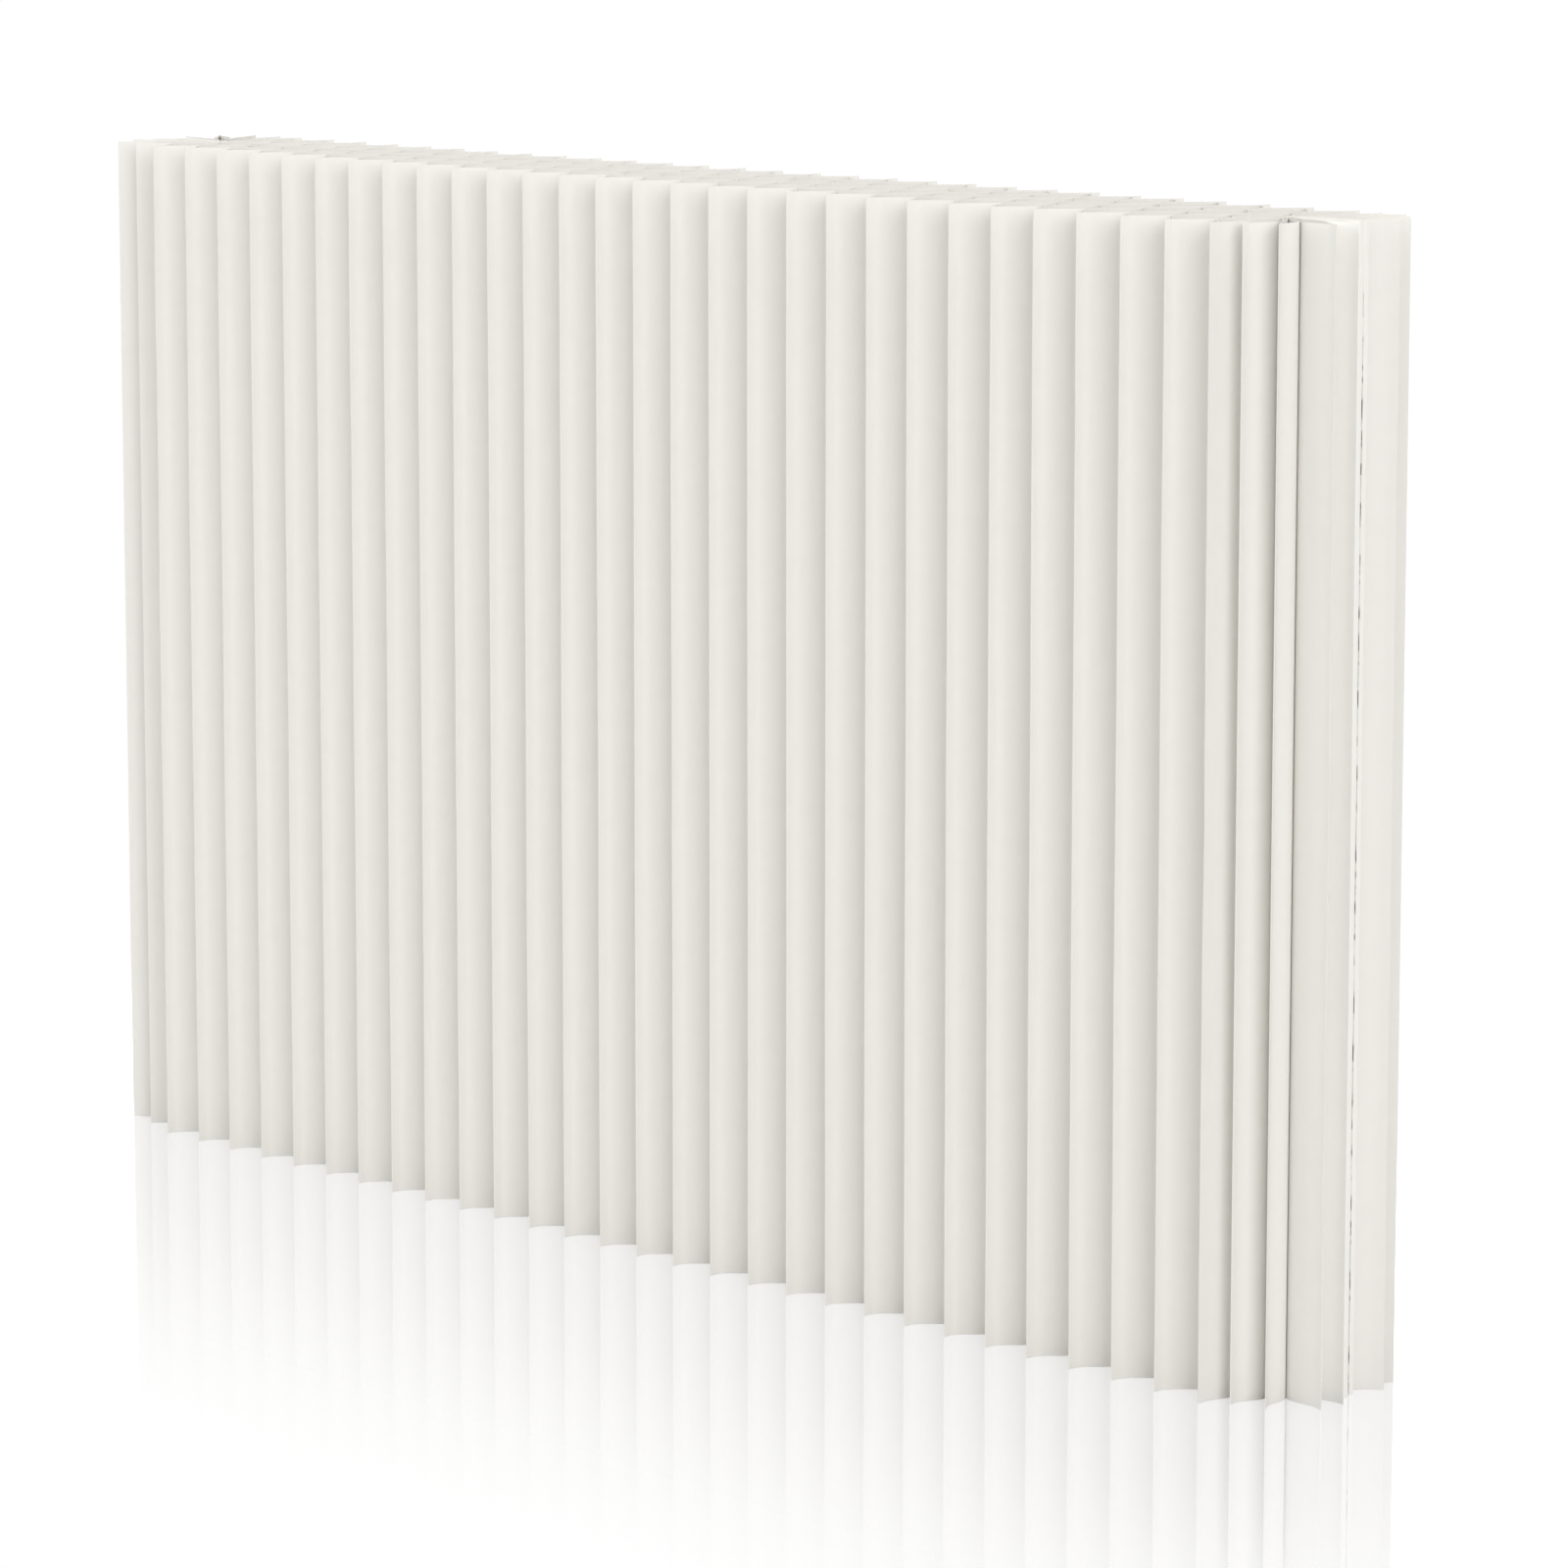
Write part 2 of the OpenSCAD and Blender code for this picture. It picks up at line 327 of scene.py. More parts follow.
class ScreenStageSettings(bpy.types.PropertyGroup):
    """Floor, light and camera."""

    floor_hex: bpy.props.StringProperty(
        name="Floor", description="Colour of the floor", default="B8B8B8"
    )
    floor_gloss: bpy.props.FloatProperty(
        name="Floor gloss",
        description="Share of mirror reflection close to the screen",
        default=0.42,
        subtype="FACTOR",
    )
    gloss_start: bpy.props.FloatProperty(
        name="Gloss start",
        description="Distance at which the reflection starts to fade",
        default=0.1,
        unit="LENGTH",
    )
    gloss_end: bpy.props.FloatProperty(
        name="Gloss end", description="Distance at which the reflection is gone", default=1.0, unit="LENGTH"
    )
    floor_shade: bpy.props.FloatProperty(
        name="Floor shade",
        description="Share of the floor that takes shade in the picture",
        default=0.12,
        subtype="FACTOR",
    )
    floor_lit: bpy.props.FloatProperty(
        name="Floor light", description="Strength of the even light on the rest of the floor", default=1.075
    )
    sky: bpy.props.FloatProperty(name="Sky", description="Strength of the even studio light", default=0.95)
    key: bpy.props.FloatProperty(name="Key", description="Strength of the main lamp", default=1.01)
    key_turn: bpy.props.FloatProperty(
        name="Key turn",
        description="Azimuth of the main lamp, in degrees from straight out on the right",
        default=-28,
    )
    key_rise: bpy.props.FloatProperty(
        name="Key rise", description="Height angle of the main lamp in degrees", default=13
    )
    fill: bpy.props.FloatProperty(name="Fill", description="Strength of the fill lamp", default=0.5)
    fill_turn: bpy.props.FloatProperty(
        name="Fill turn",
        description="Azimuth of the fill lamp, in degrees from straight out on the right",
        default=-120,
    )
    fill_rise: bpy.props.FloatProperty(
        name="Fill rise", description="Height angle of the fill lamp in degrees", default=12
    )
    back: bpy.props.FloatProperty(
        name="Back", description="Strength of the lamp behind the screen", default=0.8
    )
    back_turn: bpy.props.FloatProperty(
        name="Back turn",
        description="Azimuth of the back lamp, in degrees from straight out on the right",
        default=135,
    )
    back_rise: bpy.props.FloatProperty(
        name="Back rise", description="Height angle of the back lamp in degrees", default=13
    )
    spread: bpy.props.FloatProperty(
        name="Spread", description="Width of each lamp as seen from the screen, in degrees", default=32
    )
    eye: bpy.props.FloatVectorProperty(
        name="Camera",
        description="Place of the camera",
        size=3,
        unit="LENGTH",
        default=(5.258, -5.076, 1.876),
    )
    turn: bpy.props.FloatProperty(name="Turn", description="Camera azimuth in degrees", default=45.225)
    pitch: bpy.props.FloatProperty(name="Pitch", description="Camera tilt down in degrees", default=7.9405)
    lens: bpy.props.FloatProperty(name="Lens", description="Focal length in mm", default=133.19)
    shift: bpy.props.FloatProperty(name="Shift", description="Vertical lens shift", default=-0.13)


# ---------------------------------------------------------------- plan curves


def unit(degrees):
    """Unit vector at an angle from +X towards +Y."""
    return np.array([math.cos(math.radians(degrees)), math.sin(math.radians(degrees))])


def square_to(vector):
    """The vector turned a quarter turn to the left."""
    return np.array([-vector[1], vector[0]])


def sideways(line):
    """Unit vectors square to a line at each of its points, on its left."""
    heading = np.gradient(line, axis=0)
    heading /= np.linalg.norm(heading, axis=1, keepdims=True)
    return np.stack([-heading[:, 1], heading[:, 0]], 1)


def bent_line(knots, fold, steps=15):
    """A sheet's middle line through its glue lines, as points and as how free each point is.

    knots holds (point, direction) pairs. The line runs straight along each glue line and crosses to the
    next on a cubic whose ends lie along the two directions: p(2s^3-3s^2+1) + q(3s^2-2s^3), plus the end
    directions times the chord and the pull. Freedom is sin^2 of half a turn over each bend.
    """
    s = np.linspace(0, 1, steps)[:, None]
    points = [np.asarray(knots[0][0])[None]]
    freedom = [np.zeros(1)]
    for (a, along_a), (b, along_b) in zip(knots, knots[1:]):
        p = a + along_a * fold.glue_line / 2
        q = b - along_b * fold.glue_line / 2
        reach = np.linalg.norm(q - p) * fold.bend_pull
        points.append(
            p * (2 * s**3 - 3 * s**2 + 1)
            + along_a * reach * (s**3 - 2 * s**2 + s)
            + q * (3 * s**2 - 2 * s**3)
            + along_b * reach * (s**3 - s**2)
        )
        freedom.append(np.sin(np.pi * s[:, 0]) ** 2)
    points.append(np.asarray(knots[-1][0])[None])
    freedom.append(np.zeros(1))
    return np.concatenate(points), np.concatenate(freedom)


def rounded_line(corners, radius, steps=7):
    """A folded sheet's middle line: straight between corners, each rounded by a quadratic curve.

    The curve runs from p to q, both a radius away from the corner c, as p(1-s)^2 + 2cs(1-s) + qs^2.
    """
    corners = np.asarray(corners, float)
    s = np.linspace(0, 1, steps)[:, None]
    points = [corners[:1]]
    for a, c, b in zip(corners, corners[1:], corners[2:]):
        p = c + (a - c) / np.linalg.norm(a - c) * radius
        q = c + (b - c) / np.linalg.norm(b - c) * radius
        points.append(p * (1 - s) ** 2 + 2 * c * s * (1 - s) + q * s**2)
    points.append(corners[-1:])
    return np.concatenate(points)


def slow_waves(z, seed, longest):
    """Sum of four sine waves of height, within -1..1, with seeded phases.

    Each is half as long as the last and about 1.6 times weaker.
    """
    chance = np.random.default_rng(seed)
    phase = chance.uniform(0, 2 * np.pi, 4)
    power = chance.uniform(0.5, 1.0, 4) / np.array([1.0, 1.6, 2.6, 4.2])
    wave = np.sin(2 * np.pi * z[:, None] / (longest / 2.0 ** np.arange(4)) + phase)
    return (wave * power).sum(1) / power.sum()


def upright_sheet(line, thickness, top, waves=None, rows=19):
    """Vertices, faces and sheet coordinates of an upright sheet of paper.

    The middle line is carried straight up from the floor to the top. waves(z) gives each row's shift of
    each point, sideways to the line. The two faces lie half a thickness to either side, and the rim
    closes them, so each row is one ring of twice as many points.
    """
    side = sideways(line)
    z = np.linspace(0, top, rows)
    middle = np.repeat(line[None], rows, 0)
    if waves is not None:
        middle = middle + waves(z)
    left = middle + side[None] * thickness / 2
    right = middle - side[None] * thickness / 2
    ring = np.concatenate([left, right[:, ::-1]], 1)
    count = len(line)
    around = 2 * count
    verts = np.concatenate([ring, np.repeat(z[:, None], around, 1)[..., None]], 2).reshape(-1, 3)
    i, j = np.meshgrid(np.arange(around), np.arange(rows - 1))
    i, j = i.ravel(), j.ravel()
    nxt = (i + 1) % around
    walls = np.stack([j * around + i, (j + 1) * around + i, (j + 1) * around + nxt, j * around + nxt], 1)
    k = np.arange(count - 1)
    floor_rim = np.stack([k, k + 1, around - 2 - k, around - 1 - k], 1)
    top_rim = (floor_rim + (rows - 1) * around)[:, ::-1]
    faces = np.concatenate([walls, floor_rim, top_rim])
    length = np.concatenate([[0], np.cumsum(np.linalg.norm(np.diff(line, axis=0), axis=1))])
    run = np.concatenate([length, length[::-1]])
    sheet_uv = np.stack([np.tile(run, rows), np.repeat(z, around)], 1)
    return verts, faces, sheet_uv


def make_piece(name, parts, material, body, nodes):
    """One closed mesh object from (vertices, faces, sheet coordinates) parts, riding on a body."""
    verts, faces, coords, base = [], [], [], 0
    for part_verts, part_faces, part_uv in parts:
        verts.append(part_verts)
        faces.append(part_faces + base)
        coords.append(part_uv)
        base += len(part_verts)
    verts, faces, coords = map(np.concatenate, (verts, faces, coords))
    mesh = bpy.data.meshes.new(name)
    mesh.from_pydata(verts, [], faces)
    layer = mesh.uv_layers.new(name="sheet")
    corner = np.empty(len(mesh.loops), np.int32)
    mesh.loops.foreach_get("vertex_index", corner)
    layer.data.foreach_set("uv", coords[corner].astype(np.float32).ravel())
    mesh.shade_smooth()
    mesh.set_sharp_from_angle(angle=SHARP_ANGLE)
    mesh.materials.append(material)
    piece = bpy.data.objects.new(name, mesh)
    bpy.context.scene.collection.objects.link(piece)
    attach(piece, body)
    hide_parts(*nodes)
    return piece


# ---------------------------------------------------------------- knots of the folds


def bead_offset(fold):
    """Distance of an end's bead from the last square pleat."""
    return fold.glue_film / 2 + fold.sheet + fold.fold_gap + fold.bead


def inner_offset(fold):
    """A sheet's middle line to the glue inside its own pleat."""
    return (fold.sheet + fold.glue_film) / 2


def outer_offset(fold):
    """A sheet's middle line to the glue that it shares with a neighbour."""
    return (fold.sheet + fold.fold_gap) / 2


def square_knots(fold, rows):
    """Glue lines of a sheet that stands square across the wall, at the given rows from front to back."""
    ahead = np.array([0.0, 1.0])
    near, far = inner_offset(fold), PITCH / 2 - outer_offset(fold)
    return [(np.array([near if row % 2 == 0 else far, row * ROW - DEPTH / 2]), ahead) for row in rows]


def fan_glue_point(fold, angle, side):
    """Glue line between two fanned pleats, in a frame with its origin on the last square pleat."""
    d = unit(angle)
    hub = np.array([bead_offset(fold), 0])
    return hub + d * fold.fan_glue + square_to(d) * side * outer_offset(fold), d


def end_half_knots(fold, away, first_direction):
    """Glue lines of half of an end's last square sheet, from mid-depth out to the front or back tip."""
    middle, tip = square_knots(fold, [2, 4] if away > 0 else [2, 0])
    point, d = fan_glue_point(fold, (first_direction + away * 90) / 2, away)
    outward = np.array([0.0, float(away)])
    return [(middle[0], outward), (point, d), (tip[0], outward)]


def leaf_slope(leaf):
    """Angle between a leaf's outer face and its seam face."""
    return math.degrees(math.atan((leaf.board_thick - leaf.board_thin) / (leaf.width - leaf.board_start)))


def leaf_face(leaf, s):
    """Height of a leaf's outer face over its seam face, at a distance from the crease."""
    rise = math.tan(math.radians(leaf_slope(leaf)))
    return 2 * leaf.cover + leaf.board_thin + (s - leaf.board_start) * rise


def crease_offset(fold, leaf):
    """Distance of the leaves' crease from the last square pleat."""
    return bead_offset(fold) + leaf.board_thick + 2 * leaf.cover + leaf.seam


def leaf_glue_point(fold, leaf, direction, away):
    """Glue line of the last fanned pleat on a leaf's outer face."""
    d = unit(direction)
    along = unit(direction + away * leaf_slope(leaf))
    crease = crease_offset(fold, leaf)
    s = fold.fan_glue + bead_offset(fold) - crease
    point = np.array([crease, 0]) + d * s + square_to(d) * away * (leaf.seam / 2 + leaf_face(leaf, s))
    return point + square_to(along) * away * (fold.fold_gap + fold.sheet / 2), along


def to_wall(end, line):
    """Turns plan points from an end's own frame to the wall's: mirrored for the left end."""
    return line * np.array([ENDS[end], 1.0]) + np.array([WALL_END[end], 0.0])


# ---------------------------------------------------------------- materials


def linear(hex_colour):
    """An sRGB hex colour as linear RGBA."""
    srgb = np.array([int(hex_colour[i : i + 2], 16) for i in (0, 2, 4)]) / 255
    rgb = np.where(srgb <= 0.04045, srgb / 12.92, ((srgb + 0.055) / 1.055) ** 2.4)
    return (*rgb.tolist(), 1.0)


def darker(colour, share):
    """A linear colour with each channel times a share."""
    return (*(channel * share for channel in colour[:3]), 1.0)


def add_node(tree, kind, settings=None, **links):
    """Adds one node. settings sets its properties, and each link is a value or an output for a socket.

    A link is named by its socket, with _ for a space, or by i and the socket's number.
    """
    made = tree.nodes.new(kind)
    for key, value in (settings or {}).items():
        setattr(made, key, value)
    for key, value in links.items():
        socket = made.inputs[int(key[1:]) if key[0] == "i" and key[1:].isdigit() else key.replace("_", " ")]
        if isinstance(value, bpy.types.NodeSocket):
            tree.links.new(value, socket)
        else:
            socket.default_value = value
    return made


def new_material(name):
    """An empty node material and its tree."""
    material = bpy.data.materials.new(name)
    material.use_nodes = True
    material.node_tree.nodes.clear()
    return material, material.node_tree


def uncoated_paper(name, hex_colour, seam_shade=None):
    """Heavy uncoated white paper, as it comes off a felt-side paper machine.

    The felt leaves a soft cloudiness about 25 mm across and a tooth of about 1 mm, drawn at 1.6 mm so that
    it shows; a few faint fibre flecks lie far apart. The sheet is matt and too heavy to let light through.
    The last argument holds what the seam's painted shade needs: a dark dashed strip that paints the shadow
    in the gap between the leaves.
    """
    cloud_size = 25 * MM
    tooth_size = 1.6 * MM
    tooth_depth = 0.2 * MM
    fleck_apart = 160 * MM
    fleck_radius = 1.92 * MM
    material, tree = new_material(name)
    base = linear(hex_colour)
    place = add_node(tree, "ShaderNodeUVMap", {"uv_map": "sheet"}).outputs["UV"]
    cloud = add_node(
        tree, "ShaderNodeTexNoise", Vector=place, Scale=1 / cloud_size, Detail=3.0, Roughness=0.55
    )
    cloudy = add_node(
        tree,
        "ShaderNodeMix",
        {"data_type": "RGBA"},
        Factor=cloud.outputs["Fac"],
        i6=darker(base, 0.965),
        i7=base,
    )
    fleck = add_node(tree, "ShaderNodeTexVoronoi", {"feature": "F1"}, Vector=place, Scale=1 / fleck_apart)
    speck = add_node(
        tree,
        "ShaderNodeMapRange",
        Value=fleck.outputs["Distance"],
        From_Min=0.0,
        From_Max=fleck_radius / fleck_apart,
        To_Min=0.35,
        To_Max=0.0,
    )
    flecked = add_node(
        tree,
        "ShaderNodeMix",
        {"data_type": "RGBA"},
        Factor=speck.outputs["Result"],
        i6=cloudy.outputs[2],
        i7=darker(base, 0.8),
    )
    colour = flecked.outputs[2]
    if seam_shade:
        colour = paint_seam_shade(tree, place, colour, *seam_shade)
    tooth = add_node(
        tree, "ShaderNodeTexNoise", Vector=place, Scale=1 / tooth_size, Detail=2.0, Roughness=0.6
    )
    bump = add_node(
        tree, "ShaderNodeBump", Strength=0.12, Distance=tooth_depth, Height=tooth.outputs["Fac"]
    )
    surface = add_node(
        tree,
        "ShaderNodeBsdfPrincipled",
        Base_Color=colour,
        Roughness=0.9,
        IOR=1.5,
        Specular_IOR_Level=0.2,
        Normal=bump.outputs["Normal"],
    )
    add_node(tree, "ShaderNodeOutputMaterial", Surface=surface.outputs["BSDF"])
    return material


def paint_seam_shade(tree, place, colour, seam_shade_hex, start, end, top):
    """Paints the shadow in the seam's gap as a dark strip between two distances across the sheet, in dashes
    about 12 mm long.

    It fades out below top, over the height in which the seam closes.
    """
    dash_noise = 30 * MM
    edge = 0.3 * MM
    across = add_node(tree, "ShaderNodeSeparateXYZ", Vector=place)
    noise = add_node(
        tree,
        "ShaderNodeTexNoise",
        {"noise_dimensions": "1D"},
        W=across.outputs["Y"],
        Scale=1 / dash_noise,
        Detail=2.0,
    )
    shade_dashes = add_node(
        tree, "ShaderNodeMapRange", Value=noise.outputs["Fac"], From_Min=0.48, From_Max=0.62, To_Min=0.3
    )
    inner = add_node(
        tree, "ShaderNodeMapRange", Value=across.outputs["X"], From_Min=start, From_Max=start + edge
    )
    outer = add_node(
        tree,
        "ShaderNodeMapRange",
        Value=across.outputs["X"],
        From_Min=end - edge,
        From_Max=end,
        To_Min=1,
        To_Max=0,
    )
    below = add_node(
        tree,
        "ShaderNodeMapRange",
        Value=across.outputs["Y"],
        From_Min=top - HEIGHT * SHUT_OVER,
        From_Max=top,
        To_Min=1,
        To_Max=0,
    )
    shown = shade_dashes.outputs["Result"]
    for share in (inner, outer, below):
        both = add_node(
            tree, "ShaderNodeMath", {"operation": "MULTIPLY"}, i0=shown, i1=share.outputs["Result"]
        )
        shown = both.outputs[0]
    # Painted shade: the dark colour is mixed in where the seam's gap is in shadow.
    mixed = add_node(
        tree, "ShaderNodeMix", {"data_type": "RGBA"}, Factor=shown, i6=colour, i7=linear(seam_shade_hex)
    )
    return mixed.outputs[2]


def layered_board(name, hex_colour):
    """Board built of glued paper plies: off-white, with plies about 0.8 mm thick that show on its ends.

    Each turn of the wave is a lighter ply and a darker one, and a wave texture turns once in 0.314 of its
    own units.
    """
    ply = 0.8 * MM
    wave_turn = 0.314
    material, tree = new_material(name)
    base = linear(hex_colour)
    place = add_node(tree, "ShaderNodeTexCoord").outputs["Object"]
    plies = add_node(
        tree,
        "ShaderNodeTexWave",
        {"bands_direction": "Y"},
        Vector=place,
        Scale=wave_turn / (2 * ply),
        Distortion=1.5,
    )
    colour = add_node(
        tree,
        "ShaderNodeMix",
        {"data_type": "RGBA"},
        Factor=plies.outputs["Fac"],
        i6=darker(base, 0.86),
        i7=base,
    )
    surface = add_node(tree, "ShaderNodeBsdfPrincipled", Base_Color=colour.outputs[2], Roughness=0.95)
    add_node(tree, "ShaderNodeOutputMaterial", Surface=surface.outputs["BSDF"])
    return material


def plated_magnet(name, hex_colour):
    """Nickel-plated disc magnet: barrel-plated, so bright with a fine scuff of about 2 mm."""
    scuff_size = 2 * MM
    material, tree = new_material(name)
    place = add_node(tree, "ShaderNodeTexCoord").outputs["Object"]
    scuff = add_node(tree, "ShaderNodeTexNoise", Vector=place, Scale=1 / scuff_size, Detail=4.0)
    rough = add_node(tree, "ShaderNodeMapRange", Value=scuff.outputs["Fac"], To_Min=0.22, To_Max=0.4)
    surface = add_node(
        tree,
        "ShaderNodeBsdfPrincipled",
        Base_Color=linear(hex_colour),
        Metallic=1.0,
        Roughness=rough.outputs["Result"],
    )
    add_node(tree, "ShaderNodeOutputMaterial", Surface=surface.outputs["BSDF"])
    return material


def seen(tree):
    """1 where the camera sees a surface, straight, in a mirror or through glass, and 0 for its light."""
    ray = add_node(tree, "ShaderNodeLightPath").outputs
    most = ray["Is Camera Ray"]
    for other in ("Is Glossy Ray", "Is Transmission Ray"):
        either = add_node(tree, "ShaderNodeMath", {"operation": "MAXIMUM"}, i0=most, i1=ray[other])
        most = either.outputs[0]
    return most


def polished_floor(name, stage):
    """Pale polished floor: evenly lit white, with a mirror sheen near the screen.

    The sheen fades with the distance from the screen's box, which stands in the middle of the floor.
    """
    material, tree = new_material(name)
    place = add_node(tree, "ShaderNodeTexCoord").outputs["Object"]
    split = add_node(tree, "ShaderNodeSeparateXYZ", Vector=place)

    def beyond(axis, half):
        """How far a point lies outside the box along one axis."""
        size = add_node(tree, "ShaderNodeMath", {"operation": "ABSOLUTE"}, i0=split.outputs[axis])
        past = add_node(tree, "ShaderNodeMath", {"operation": "SUBTRACT"}, i0=size.outputs[0], i1=half)
        kept = add_node(tree, "ShaderNodeMath", {"operation": "MAXIMUM"}, i0=past.outputs[0], i1=0.0)
        return kept.outputs[0]

    gap = add_node(
        tree, "ShaderNodeCombineXYZ", X=beyond("X", CAD_BOX[1][0]), Y=beyond("Y", CAD_BOX[1][1])
    )
    distance = add_node(tree, "ShaderNodeVectorMath", {"operation": "LENGTH"}, i0=gap.outputs[0])
    sheen = add_node(
        tree,
        "ShaderNodeMapRange",
        {"interpolation_type": "SMOOTHSTEP"},
        Value=distance.outputs["Value"],
        From_Min=stage.gloss_start,
        From_Max=stage.gloss_end,
        To_Min=stage.floor_gloss,
        To_Max=0.0,
    )
    polish = add_node(
        tree,
        "ShaderNodeMath",
        {"operation": "MULTIPLY"},
        i0=sheen.outputs["Result"],
        i1=add_node(tree, "ShaderNodeLightPath").outputs["Is Camera Ray"],
    )
    even = add_node(
        tree, "ShaderNodeMapRange", Value=seen(tree), To_Min=0.0, To_Max=1.0 - stage.floor_shade
    )
    matt = add_node(tree, "ShaderNodeBsdfDiffuse", Color=linear(stage.floor_hex))
    lit = add_node(tree, "ShaderNodeEmission", Color=WHITE, Strength=stage.floor_lit)
    mirror = add_node(tree, "ShaderNodeBsdfGlossy", Color=WHITE, Roughness=0.03)
    pale = add_node(
        tree, "ShaderNodeMixShader", i0=even.outputs["Result"], i1=matt.outputs[0], i2=lit.outputs[0]
    )
    both = add_node(
        tree, "ShaderNodeMixShader", i0=polish.outputs[0], i1=pale.outputs[0], i2=mirror.outputs[0]
    )
    add_node(tree, "ShaderNodeOutputMaterial", Surface=both.outputs[0])
    return material


def seam_shade_args(look, leaf, fold):
    """What the seam's painted shade needs: colour, first and last distance, and top."""
    nose = leaf.width - fold.fold_gap
    top = HEIGHT * (leaf.shut_from + SEAM_SHADE_LAP)
    return look.seam_shade_hex, nose - look.seam_shade_in, nose - look.seam_shade_out, top


def shared_material(name):
    """One of the screen's materials, made when it is first asked for."""
    if name in bpy.data.materials:
        return bpy.data.materials[name]
    scene = bpy.context.scene
    look = scene.screen_paper
    if name == "uncoated_sheet_paper":
        return uncoated_paper(name, look.sheet_hex)
    # Whiter paper as painted light for the shaded flap.
    if name == "uncoated_flap_paper":
        return uncoated_paper(name, look.flap_painted_light_hex)
    # The cover paper carries the seam's painted shade.
    if name == "scored_cover_paper":
        return uncoated_paper(name, look.cover_hex, seam_shade_args(look, scene.screen_leaf, scene.screen_fold))
    if name == "layered_paper_board":
        return layered_board(name, look.core_hex)
    if name == "nickel_plated_magnet":
        return plated_magnet(name, look.magnet_hex)
    raise ValueError(f"no material is named {name}")


def repaint(node, material):
    """Gives a CAD node a material without touching its mesh."""
    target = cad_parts[node]
    if not target.material_slots:
        target.data.materials.append(material)
    for place in target.material_slots:
        place.link = "OBJECT"
        place.material = material


# ---------------------------------------------------------------- operators


def half_ends():
    """The four half ends in order, each as its end, its half and the side of the wall it lies on."""
    return [(end, half, away) for end in ENDS for half, away in HALVES.items()]


def cut_height(fold, chance):
    """Height of one sheet, cut a little unevenly."""
    return HEIGHT - chance.uniform(0, 1) * fold.cut_spread


class SCREEN_OT_square_pleats(bpy.types.Operator):
    """Folds the pleats that stand square across the wall"""

    bl_idname = "screen.square_pleats"
    bl_label = "Square pleats"

    def execute(self, context):
        fold = context.scene.screen_fold
        paper = shared_material("uncoated_sheet_paper")
        chance = np.random.default_rng(SQUARE_SEED)
        for k in range(1, PLEAT_COUNT + 1):
            x = WALL_LEFT + (k - 1) * PITCH
            node = f"pleat_{k:02d}"
            body = {1: "left_end", PLEAT_COUNT: "right_end"}.get(k, node)
            parts = []
            for side in (-1, 1):
                # The outermost sheet of each end is bent into its fan, as the end sheets.
                if (k, side) not in ((1, -1), (PLEAT_COUNT, 1)):
                    parts.append(self.sheet(fold, x, k, side, chance))
            piece = make_piece(f"{node}_paper", parts, paper, body, [node])
            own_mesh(piece)
        return {"FINISHED"}

    def sheet(self, fold, x, k, side, chance):
        """One sheet of a pleat. Its tips wander with the pleat, and its free paper ripples by itself."""
        line, free = bent_line(square_knots(fold, range(5)), fold)
        line = line * np.array([side, 1.0]) + np.array([x, 0.0])
        half = np.sign(line[:, 1])
        near_tip = np.clip(np.abs(line[:, 1]) / ROW - 1, 0, 1) ** 2
        seed = int(chance.integers(SEED_LIMIT))

        def waves(z):
            front = slow_waves(z, FRONT_TIP_SEED + k, TIP_WAVELENGTH)[:, None] * (half < 0)
            back = slow_waves(z, BACK_TIP_SEED + k, TIP_WAVELENGTH)[:, None] * (half > 0)
            tip = (front + back) * near_tip * fold.wander
            ripple = slow_waves(z, seed, RIPPLE_WAVELENGTH)[:, None] * free * fold.ripple
            return np.stack([tip + ripple, np.zeros_like(tip)], 2)

        return upright_sheet(line, fold.sheet, cut_height(fold, chance), waves)


class SCREEN_OT_end_sheets(bpy.types.Operator):
    """Bends the outermost square sheet of each end towards the fan"""

    bl_idname = "screen.end_sheets"
    bl_label = "End sheets"

    def execute(self, context):
        fold = context.scene.screen_fold
        paper = shared_material("uncoated_sheet_paper")
        top = HEIGHT - 0.4 * fold.cut_spread
        for end, half, away in half_ends():
            first = getattr(fold, f"{end}_{half}_directions")[0]
            line = bent_line(end_half_knots(fold, away, first), fold)[0]
            part = upright_sheet(to_wall(end, line), fold.sheet, top)
            name = f"{end}_{half}_end_sheet"
            piece = make_piece(name, [part], paper, f"{end}_end", [END_PLEAT[end]])
            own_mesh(piece)
        return {"FINISHED"}


